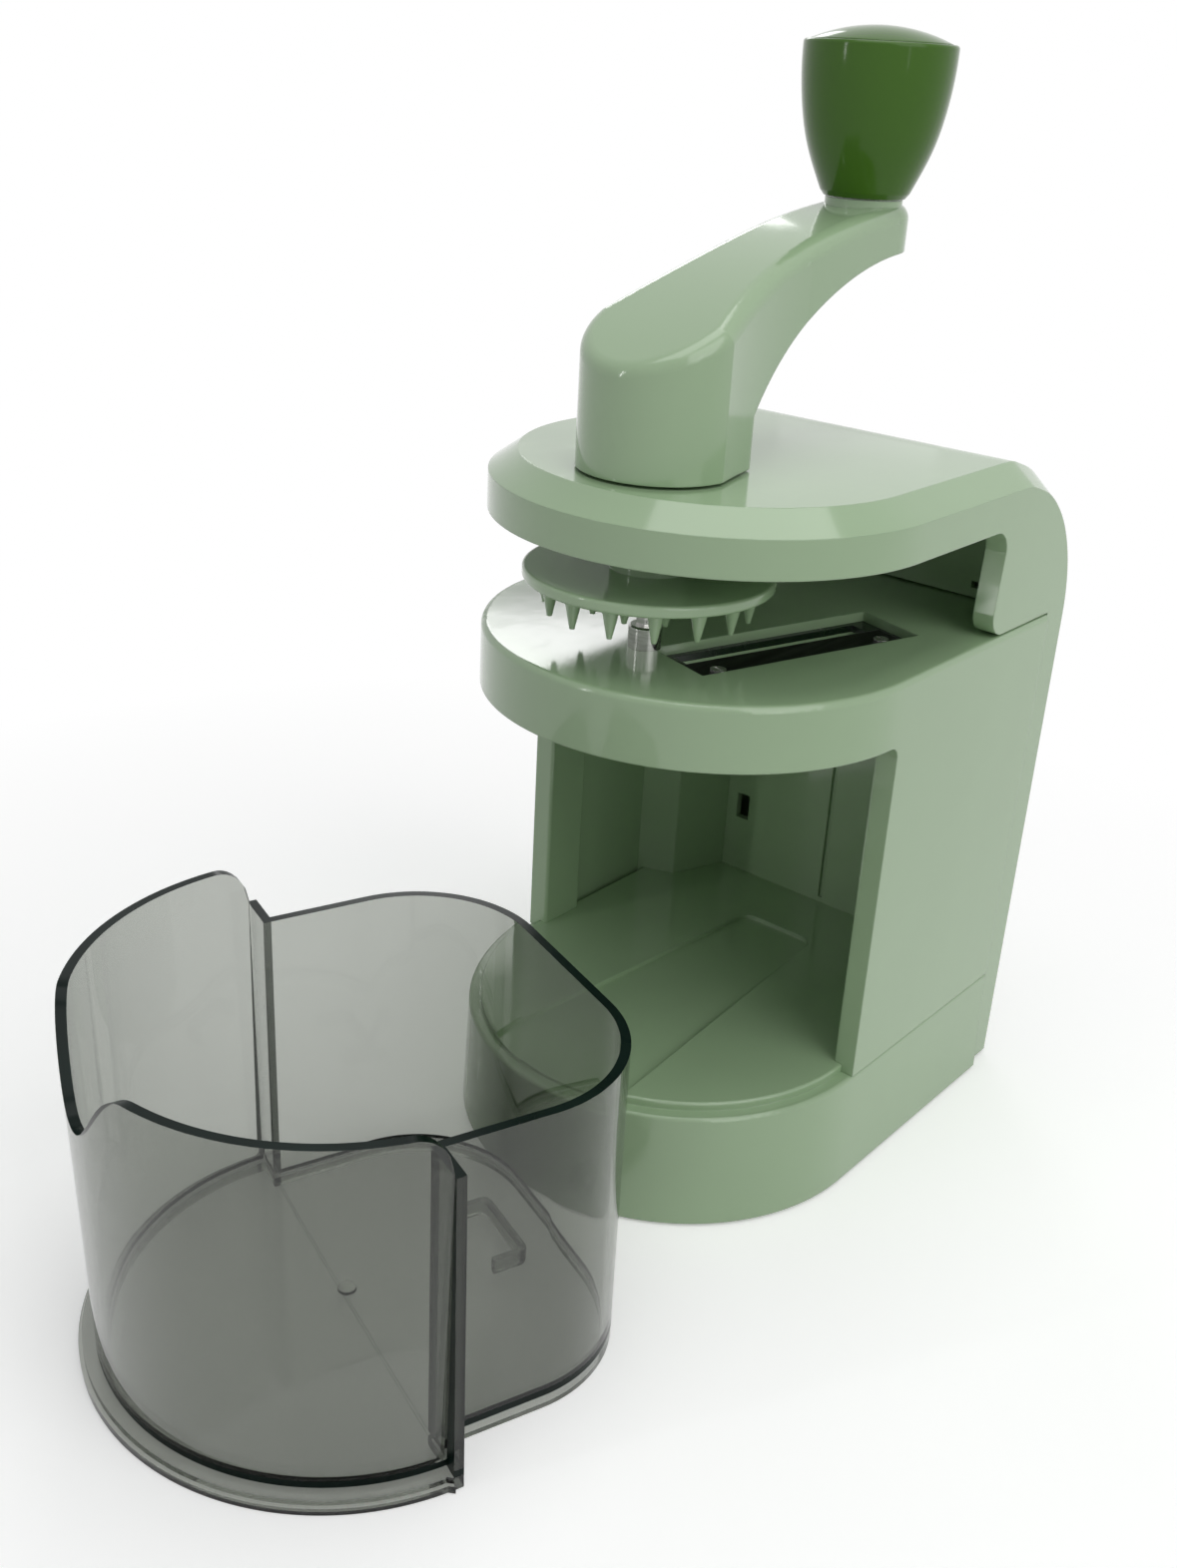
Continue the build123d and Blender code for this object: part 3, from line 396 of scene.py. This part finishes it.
class SLICER_OT_crank(bpy.types.Operator):
    """Finish the crank and its shaft"""

    bl_idname = "slicer.crank"
    bl_label = "Crank"

    def execute(self, context):
        dress("crank_arm", sage())
        bright = turned_steel("turned_shaft", finish_of().steel, 0.2, (1, 1, 6))
        dress("drive_shaft", bright)
        dress("knob_pin", bright)
        return {"FINISHED"}


class SLICER_OT_disc(bpy.types.Operator):
    """Finish the spiked pressing disc and its screw"""

    bl_idname = "slicer.disc"
    bl_label = "Pressing disc"

    def execute(self, context):
        dress("press_disc", sage())
        dress("disc_spikes", sage())
        dress("disc_screw", screw_finish())
        return {"FINISHED"}


class SLICER_OT_knob(bpy.types.Operator):
    """Finish the knob and the cap in its top"""

    bl_idname = "slicer.knob"
    bl_label = "Knob"

    def execute(self, context):
        f = finish_of()
        green = glossy_moulding("knob_green", f.knob, 0.12, 0.0006, coat=0.0, ior=1.33)
        for node in ("knob_body", "knob_cap"):
            dress(node, green)
        return {"FINISHED"}


class SLICER_OT_blade(bpy.types.Operator):
    """Finish the blade (its steel darkened to near-black as painted shade), its dark holder, its screws and
    the coring pin
    """

    bl_idname = "slicer.blade"
    bl_label = "Blade and pin"

    def execute(self, context):
        f = finish_of()
        dress("blade_frame", satin_plastic("holder_dark", f.dark, 0.25))
        # Painted shade: the blade's steel is darkened to near-black so that the slot looks shaded and its
        # reflection dark.
        dress("slicing_blade", turned_steel("ground_blade_painted_shade", shade(f.steel, 0.03), 0.4, (1, 0.05, 1)))
        dress("blade_screws", screw_finish())
        pin = turned_steel("pin_steel", f.steel, 0.18, (1, 1, 5))
        for node in ("coring_pin", "pin_collar"):
            dress(node, pin)
        dress("pin_nut", screw_finish())
        return {"FINISHED"}


# ------------------------------------------------------------------ container
def draw_on(bm, vert, step):
    """Extrudes one corner of an outline by a straight step."""
    made = bmesh.ops.extrude_vert_indiv(bm, verts=[vert])["verts"][0]
    bmesh.ops.translate(bm, verts=[made], vec=step)
    return made


def sweep_on(bm, vert, centre, degrees, steps):
    """Spins one corner of an outline round a centre."""
    made = bmesh.ops.spin(bm, geom=[vert], cent=centre, axis=(0, 0, 1), angle=math.radians(degrees),
                          steps=steps, use_duplicate=False)
    return corners_of(made["geom_last"])[0]


def tub_plan(bm, t):
    """Flat plan of the container about the middle of its flanges: round front, narrower rear."""
    half = t.wall / 2
    end = math.degrees(math.asin(half / t.round_r))
    across = math.sqrt(t.round_r ** 2 - half ** 2)
    first = bm.verts.new((-across, -half, 0))
    at = sweep_on(bm, first, (0, 0, 0), 180 - 2 * end, FRONT_STEPS)
    at = draw_on(bm, at, (0, t.wall, 0))
    at = draw_on(bm, at, (t.rear_half - across, 0, 0))
    straight = t.rear_long - t.rear_r - half
    at = draw_on(bm, at, (0, straight, 0))
    turn = t.rear_half - t.rear_r
    at = sweep_on(bm, at, (turn, straight + half, 0), 90, CORNER_STEPS)
    at = draw_on(bm, at, (-2 * turn, 0, 0))
    at = sweep_on(bm, at, (-turn, straight + half, 0), 90, CORNER_STEPS)
    at = draw_on(bm, at, (0, -straight, 0))
    at = draw_on(bm, at, (t.rear_half - across, 0, 0))
    bm.edges.new((at, first))
    plan = bmesh.ops.contextual_create(bm, geom=list(bm.edges))["faces"][0]
    plan.normal_update()
    if plan.normal.z < 0:
        plan.normal_flip()
    return plan


def rim_height(t, x, y):
    """Height of the container's rim above a point of its plan."""
    end = -t.wall / 2 - HAIR
    if y > end:
        return t.low
    if y > end - t.bend:
        share = (y - end + t.bend) / t.bend
        return t.low + (t.high - t.low) * math.sqrt(max(0.0, 1 - share ** 2))
    if y < -t.bend * 2 and abs(x) < t.notch_half:
        share = (0.5 - 0.5 * math.cos(math.pi * abs(x) / t.notch_half)) ** t.notch_curve
        return t.notch_low + (t.high - t.notch_low) * share
    return t.high


def corners_of(geom):
    return [g for g in geom if isinstance(g, bmesh.types.BMVert)]


def faces_of(geom):
    return [g for g in geom if isinstance(g, bmesh.types.BMFace)]


def faces_on_table(bm):
    return [face for face in bm.faces if face.calc_center_median().z < ON_TABLE]


def largest(faces):
    return max(faces, key=lambda face: face.calc_area())


def clear_away(bm, faces):
    """Deletes the faces that an extrusion started from, and the edges that only they had."""
    bmesh.ops.delete(bm, geom=[face for face in faces if face.is_valid], context="FACES_ONLY")
    bmesh.ops.delete(bm, geom=[edge for edge in bm.edges if not edge.link_faces], context="EDGES")


def raised(bm, faces, rise):
    """Extrudes faces straight up and returns the new faces and corners; the old faces go."""
    up = bmesh.ops.extrude_face_region(bm, geom=faces)["geom"]
    corners = corners_of(up)
    bmesh.ops.translate(bm, verts=corners, vec=(0, 0, rise))
    clear_away(bm, faces)
    return faces_of(up), corners


def container_mesh(t):
    """The container before its lip and flanges: stepped foot, recessed underside, walls up to the rim."""
    bm = bmesh.new()
    plan = tub_plan(bm, t)
    bmesh.ops.inset_region(bm, faces=[plan], thickness=t.wall, use_even_offset=True, use_boundary=True)
    bmesh.ops.remove_doubles(bm, verts=bm.verts, dist=MERGE)
    up = bmesh.ops.extrude_face_region(bm, geom=list(bm.faces), use_keep_orig=True)["geom"]
    bmesh.ops.translate(bm, verts=corners_of(up), vec=(0, 0, t.step))
    bmesh.ops.reverse_faces(bm, faces=faces_on_table(bm))
    tops = faces_of(up)
    for rise in (t.lip - t.step, t.floor - t.lip):
        tops, _ = raised(bm, tops, rise)
    middle = largest(tops)
    _, rim = raised(bm, [face for face in tops if face is not middle], t.low - t.floor)
    for vert in rim:
        vert.co.z = rim_height(t, vert.co.x, vert.co.y)
    raised(bm, [largest(faces_on_table(bm))], t.floor - t.floor_thick)
    bmesh.ops.recalc_face_normals(bm, faces=bm.faces)
    return bm


def pull_out_foot(bm, t, top, out_by, with_wings):
    """Pulls one step of the lip out of the front's foot, and with_wings the flanges at its ends."""
    half = t.wall / 2 + 1e-5
    moved = []
    for face in bm.faces:
        at, out = face.calc_center_median(), face.normal
        on_wing = abs(out.x) > 0.98 and abs(at.x) > t.rear_half + 0.005 and abs(at.y) < half / 2
        outward = abs(out.z) < 0.1 and out.xy.dot(at.xy) > 0
        on_lip = outward and at.z < top and at.y < -half and at.xy.length > t.round_r - t.wall / 2
        if (on_wing and with_wings) or on_lip:
            moved.append(face)
    made = corners_of(bmesh.ops.extrude_face_region(bm, geom=moved)["geom"])
    clear_away(bm, moved)
    for vert in made:
        if vert.co.y < -half or not with_wings:
            vert.co.xy *= (out_by + vert.co.xy.length) / vert.co.xy.length
        else:
            reach = t.flange - (t.flange - t.round_r - HAIR) * vert.co.z / (t.low - 0.002)
            vert.co.x = math.copysign(reach, vert.co.x)
    return set(made)


def taper_front(bm, t, kept):
    """Draft of the half-round front: narrower towards the floor, apart from lip and flanges."""
    for vert in bm.verts:
        reach = vert.co.xy.length
        if vert not in kept and vert.co.y < t.wall and reach > t.rear_half + 0.004:
            vert.co.xy *= (reach - t.draft * (1 - vert.co.z / t.high)) / reach


def floor_hook(t):
    """Low U-shaped rib on the floor, open to the front: a drawn path, raised and then thickened."""
    bm = bmesh.new()
    half, near, far, r = t.hook_half, t.hook_y, t.hook_y + t.hook_long, t.hook_corner
    at = bm.verts.new((half, near, 0))
    at = draw_on(bm, at, (0, far - near - r, 0))
    at = sweep_on(bm, at, (half - r, far - r, 0), 90, HOOK_STEPS)
    at = draw_on(bm, at, (-2 * (half - r), 0, 0))
    at = sweep_on(bm, at, (r - half, far - r, 0), 90, HOOK_STEPS)
    draw_on(bm, at, (0, near - far + r, 0))
    up = bmesh.ops.extrude_edge_only(bm, edges=list(bm.edges))["geom"]
    bmesh.ops.translate(bm, verts=corners_of(up), vec=(0, 0, t.hook_high))
    bmesh.ops.recalc_face_normals(bm, faces=bm.faces)
    bmesh.ops.solidify(bm, geom=list(bm.faces), thickness=t.hook_wall)
    bmesh.ops.recalc_face_normals(bm, faces=bm.faces)
    corners = [edge for edge in bm.edges if edge.calc_face_angle(0.0) > HOOK_BEVEL_FROM]
    bmesh.ops.bevel(bm, geom=corners, offset=0.0006, segments=2, affect="EDGES", profile=0.5, material=-1)
    bmesh.ops.translate(bm, verts=bm.verts, vec=(0, 0, t.floor - HAIR / 2))
    return bm


def gate_mark(t):
    """Small raised spot in the middle of the floor, left by the moulding."""
    bm = bmesh.new()
    bmesh.ops.create_cone(bm, cap_ends=True, segments=32, radius1=0.0026, radius2=0.0024, depth=0.0008)
    bmesh.ops.translate(bm, verts=bm.verts, vec=(0, t.mark_y, t.floor + 0.0003))
    return bm


def join_into(bm, other):
    """Adds another bmesh's faces to this one."""
    mesh = bpy.data.meshes.new("joined")
    other.to_mesh(mesh)
    other.free()
    bm.from_mesh(mesh)
    bpy.data.meshes.remove(mesh)


def sharp_by_angle(bm, limit):
    """Marks edges sharper than a limit, so that smooth shading stops there."""
    for edge in bm.edges:
        edge.smooth = len(edge.link_faces) == 2 and edge.calc_face_angle(0.0) < limit


def darken_rim(bm, t):
    """Gives the dark edge material to the rim and to the line where the wall meets the lip."""
    for face in bm.faces:
        at = face.calc_center_median()
        on_rim = at.z > t.notch_low - 0.003 and face.normal.z > 0.2
        at_foot = t.lip < at.z < t.floor and abs(face.normal.z) < 0.3
        face.material_index = DARK if on_rim or at_foot else CLEAR


def darken_flange_edges(bm, t):
    """Gives the dark edge material to the narrow rounded edges of the flanges."""
    for face in bm.faces:
        at = face.calc_center_median()
        narrow = min(edge.calc_length() for edge in face.edges) < t.round_edge
        on_flange = abs(at.y) < t.wall and abs(at.x) > t.rear_half + 0.002
        if narrow and on_flange and abs(face.normal.z) < 0.5:
            face.material_index = DARK


class SLICER_OT_container(bpy.types.Operator):
    """Build the clear container: walls, rim, lip, flanges and the rib on its floor"""

    bl_idname = "slicer.container"
    bl_label = "Container"

    def execute(self, context):
        f = finish_of()
        t = context.scene.slicer_container
        bm = container_mesh(t)
        lip_out = t.flange - t.round_r
        kept = pull_out_foot(bm, t, t.lip, lip_out * (1 - t.step_share), True)
        kept |= pull_out_foot(bm, t, t.step, lip_out * t.step_share, False)
        taper_front(bm, t, kept)
        bmesh.ops.recalc_face_normals(bm, faces=bm.faces)
        darken_rim(bm, t)
        bent = [e for e in bm.edges if len(e.link_faces) == 2 and e.calc_face_angle(0.0) > BEVEL_FROM]
        bmesh.ops.bevel(bm, geom=bent, offset=t.round_edge, segments=3, affect="EDGES", profile=0.5,
                        material=-1, clamp_overlap=True)
        darken_flange_edges(bm, t)
        join_into(bm, floor_hook(t))
        join_into(bm, gate_mark(t))
        for face in bm.faces:
            face.smooth = True
        sharp_by_angle(bm, SHADE_TO)
        stands = Matrix.Translation(Vector(t.place)) @ Matrix.Rotation(math.radians(t.turn), 4, "Z")
        bmesh.ops.transform(bm, verts=bm.verts, matrix=stands)
        finish_piece(bm, "clear_container", "catch_container",
                     [clear_smoke("smoke_clear", f.smoke, t.density), dark_rim("smoke_rim", f.rim)],
                     ["container_front", "container_rear"])
        return {"FINISHED"}


# ------------------------------------------------------------------ stage
# How far from the object's middle the floor starts to turn plain white, and where it is, in metres.
FADE_FROM = 0.16
FADE_TO = 0.42

# Name, place, point it looks at, width and height, all in metres, and power in watts.
LAMPS = (
    ("lamp_right", (0.95, -0.10, 0.85), (0, 0.05, 0.12), (0.9, 1.1), 5.4),
    ("lamp_top", (0.05, 0.05, 1.25), (0, 0.05, 0.15), (1.1, 0.7), 5.0),
    ("lamp_left_strip", (-0.43, -1.05, 0.48), (0, 0, 0.14), (0.04, 0.5), 0.8),
    ("lamp_right_strip", (1.00, -0.19, 0.45), (0, 0, 0.2), (0.035, 0.5), 0.12),
    ("lamp_deck", (-1.43, 1.44, 1.02), (0, 0, 0.16), (0.62, 0.36), 2.5),
    ("lamp_arm_top", (-0.98, 1.80, 0.62), (0, 0, 0.21), (0.24, 0.03), 0.008),
)


class SLICER_OT_stage(bpy.types.Operator):
    """Lay the floor and set the light and the camera"""

    bl_idname = "slicer.stage"
    bl_label = "Stage"

    def execute(self, context):
        s = context.scene.slicer_stage
        lay_floor()
        light_world(s.sky)
        for name, place, target, size, power in LAMPS:
            soft_lamp(name, place, target, size, power * s.lamps)
        place_camera(s)
        return {"FINISHED"}


def lay_floor():
    """Pale floor that keeps the object's shadow and turns plain white further out."""
    bm = bmesh.new()
    bmesh.ops.create_grid(bm, x_segments=1, y_segments=1, size=6.0)
    bmesh.ops.translate(bm, verts=bm.verts, vec=(0, 0, -0.0002))
    mesh = bpy.data.meshes.new("floor")
    bm.to_mesh(mesh)
    bm.free()
    floor = bpy.data.objects.new("floor", mesh)
    bpy.context.scene.collection.objects.link(floor)
    r = Recipe("pale_floor")
    base = r.add("ShaderNodeBsdfPrincipled")
    base.inputs["Roughness"].default_value = 0.6
    tone = r.mix(r.ramp(r.noise(3.0, 3.0), 0.3, 0.7), (0.86, 0.86, 0.85), (0.9, 0.9, 0.89))
    r.link(tone, base.inputs["Base Color"])
    lift = r.add("ShaderNodeEmission")
    lift.inputs["Strength"].default_value = 0.3
    near = r.add("ShaderNodeAddShader")
    r.link(base.outputs[0], near.inputs[0])
    r.link(lift.outputs[0], near.inputs[1])
    white = r.add("ShaderNodeEmission")
    reach = r.add("ShaderNodeVectorMath", operation="LENGTH")
    r.link(r.coords, reach.inputs[0])
    fade = r.add("ShaderNodeMixShader")
    r.link(r.ramp(reach.outputs["Value"], FADE_FROM, FADE_TO), fade.inputs[0])
    r.link(near.outputs[0], fade.inputs[1])
    r.link(white.outputs[0], fade.inputs[2])
    pick = r.add("ShaderNodeMixShader")
    r.link(plain_rays(r.tree), pick.inputs[0])
    r.link(base.outputs[0], pick.inputs[1])
    r.link(fade.outputs[0], pick.inputs[2])
    r.link(pick.outputs[0], r.out.inputs["Surface"])
    mesh.materials.append(r.material)


def plain_rays(tree):
    """1 for the rays that show the plain background: from the camera, mirrored, or through clear pieces."""
    path = tree.nodes.new("ShaderNodeLightPath")
    last = path.outputs["Is Camera Ray"]
    for kind in ("Is Glossy Ray", "Is Transmission Ray"):
        most = tree.nodes.new("ShaderNodeMath")
        most.operation = "MAXIMUM"
        tree.links.new(last, most.inputs[0])
        tree.links.new(path.outputs[kind], most.inputs[1])
        last = most.outputs[0]
    return last


def light_world(strength):
    """Even cool white light; the camera, mirrors and clear pieces see plain white."""
    world = bpy.data.worlds.new("studio")
    bpy.context.scene.world = world
    world.use_nodes = True
    tree = world.node_tree
    tree.nodes.clear()
    out = tree.nodes.new("ShaderNodeOutputWorld")
    even = tree.nodes.new("ShaderNodeBackground")
    even.inputs["Color"].default_value = (0.95, 0.98, 1.0, 1.0)
    even.inputs["Strength"].default_value = strength
    white = tree.nodes.new("ShaderNodeBackground")
    white.inputs["Color"].default_value = (1.0, 1.0, 1.0, 1.0)
    white.inputs["Strength"].default_value = 1.0
    pick = tree.nodes.new("ShaderNodeMixShader")
    tree.links.new(plain_rays(tree), pick.inputs[0])
    tree.links.new(even.outputs[0], pick.inputs[1])
    tree.links.new(white.outputs[0], pick.inputs[2])
    tree.links.new(pick.outputs[0], out.inputs["Surface"])


def soft_lamp(name, place, target, size, power):
    """A rectangular lamp that looks at a point."""
    data = bpy.data.lights.new(name, "AREA")
    data.shape = "RECTANGLE"
    data.size, data.size_y = size
    data.energy = power
    lamp = bpy.data.objects.new(name, data)
    lamp.location = place
    lamp.rotation_mode = "QUATERNION"
    lamp.rotation_quaternion = (Vector(target) - Vector(place)).to_track_quat("-Z", "Y")
    bpy.context.scene.collection.objects.link(lamp)


def place_camera(s):
    """The camera that took the photograph, from its place, its turns and its lens."""
    data = bpy.data.cameras.new("camera")
    data.sensor_fit = "VERTICAL"
    data.sensor_height = s.sensor
    data.sensor_width = s.sensor
    data.lens = s.lens
    data.clip_start = 0.01
    data.clip_end = 50.0
    camera = bpy.data.objects.new("camera", data)
    yaw, pitch, roll = (math.radians(v) for v in (s.yaw, s.pitch, s.roll))
    ahead = Vector((-math.sin(yaw) * math.cos(pitch), math.cos(yaw) * math.cos(pitch), -math.sin(pitch)))
    right = Vector((math.cos(yaw), math.sin(yaw), 0.0))
    down = ahead.cross(right)
    across = math.cos(roll) * right + math.sin(roll) * down
    below = -math.sin(roll) * right + math.cos(roll) * down
    turn = Matrix((across, -below, -ahead)).transposed()
    camera.matrix_world = Matrix.Translation(Vector(s.place)) @ turn.to_4x4()
    bpy.context.scene.collection.objects.link(camera)
    bpy.context.scene.camera = camera


# ------------------------------------------------------------------ add-on
STEPS = (
    SLICER_OT_stand, SLICER_OT_slides, SLICER_OT_arm, SLICER_OT_crank, SLICER_OT_disc,
    SLICER_OT_knob, SLICER_OT_blade, SLICER_OT_container, SLICER_OT_stage,
)


class SLICER_PT_panel(bpy.types.Panel):
    """Lists the slicer's sizes, colours and steps"""

    bl_label = "Spiral Slicer"
    bl_idname = "SLICER_PT_panel"
    bl_space_type = "VIEW_3D"
    bl_region_type = "UI"
    bl_category = "Slicer"

    def draw(self, context):
        column = self.layout.column()
        scene = context.scene
        for group in (scene.slicer_finish, scene.slicer_container, scene.slicer_stage):
            for key in group.__annotations__:
                column.prop(group, key)
        for step in STEPS:
            column.operator(step.bl_idname)


CLASSES = (SlicerFinish, SlicerContainer, SlicerStage, *STEPS, SLICER_PT_panel)


def register():
    for cls in CLASSES:
        bpy.utils.register_class(cls)
    bpy.types.Scene.slicer_finish = PointerProperty(type=SlicerFinish)
    bpy.types.Scene.slicer_container = PointerProperty(type=SlicerContainer)
    bpy.types.Scene.slicer_stage = PointerProperty(type=SlicerStage)


def unregister():
    del bpy.types.Scene.slicer_stage
    del bpy.types.Scene.slicer_container
    del bpy.types.Scene.slicer_finish
    for cls in reversed(CLASSES):
        bpy.utils.unregister_class(cls)


def main():
    register()
    bpy.context.scene.view_settings.view_transform = "Standard"
    for step in STEPS:
        group, name = step.bl_idname.split(".")
        getattr(getattr(bpy.ops, group), name)()


if __name__ == "__main__":
    main()
